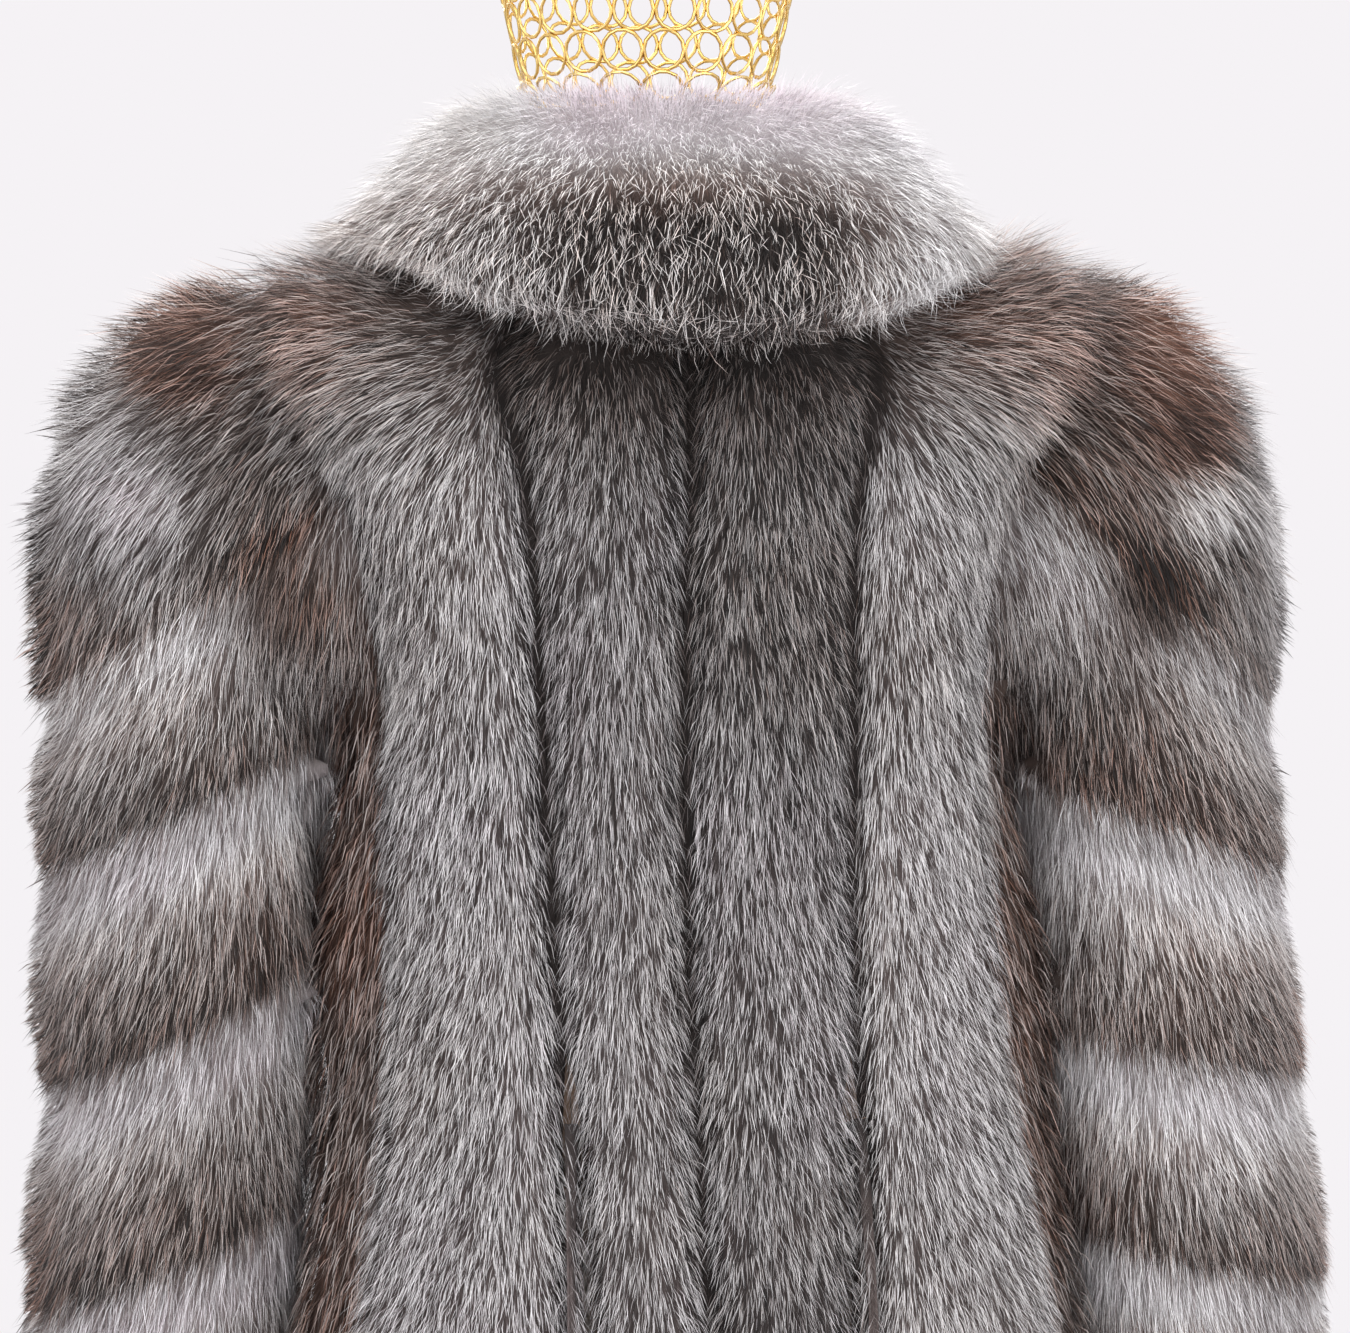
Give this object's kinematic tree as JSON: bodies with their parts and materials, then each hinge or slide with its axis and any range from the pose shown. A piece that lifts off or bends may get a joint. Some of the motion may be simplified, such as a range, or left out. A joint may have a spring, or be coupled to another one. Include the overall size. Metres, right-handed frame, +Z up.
{
  "type": "fur coat on a limbless dress form",
  "caption": "Silver fox fur coat with a broad rolled collar, vertical body strips and slanted sleeve bands, standing on a limbless dress form with a wire head, a pole and a round base.",
  "frame": {"origin": "on the floor, at the middle of the stand's round base", "axes": "+Z up, -Y the way the wearer's front faces, +X the wearer's left"},
  "size_m": [0.7112, 0.3759, 1.742],
  "materials": {
    "silver_fur_back": "long silver fox fur, dark at the root and pale at the tip, on leather",
    "brown_fur_side": "shorter dark brown fox fur under the arms",
    "silver_fur_sleeve": "long silver fox fur in slanted bands with a mauve underwool",
    "silver_fur_collar": "full silver fox fur with pale tips",
    "form_linen": "plain linen cover, stretched smooth",
    "gold_wire": "gold-coloured wire rings",
    "stand_steel": "brushed steel"
  },
  "bodies": {
    "root": {"back_strip_outer_left": "silver_fur_back", "back_strip_outer_right": "silver_fur_back", "back_strip_inner_left": "silver_fur_back", "back_strip_inner_right": "silver_fur_back", "front_strip_outer_left": "silver_fur_back", "front_strip_outer_right": "silver_fur_back", "front_strip_inner_left": "silver_fur_back", "front_strip_inner_right": "silver_fur_back", "side_strip_left": "brown_fur_side", "side_strip_right": "brown_fur_side", "godet_left": "silver_fur_back", "godet_right": "silver_fur_back", "sleeve_left_back": "silver_fur_sleeve", "sleeve_left_front": "silver_fur_sleeve", "sleeve_right_back": "silver_fur_sleeve", "sleeve_right_front": "silver_fur_sleeve", "collar": "silver_fur_collar", "form_torso": "form_linen", "form_head": "gold_wire", "form_pole": "stand_steel", "form_base": "stand_steel", "form_socket": "stand_steel"}
  },
  "joints": []
}
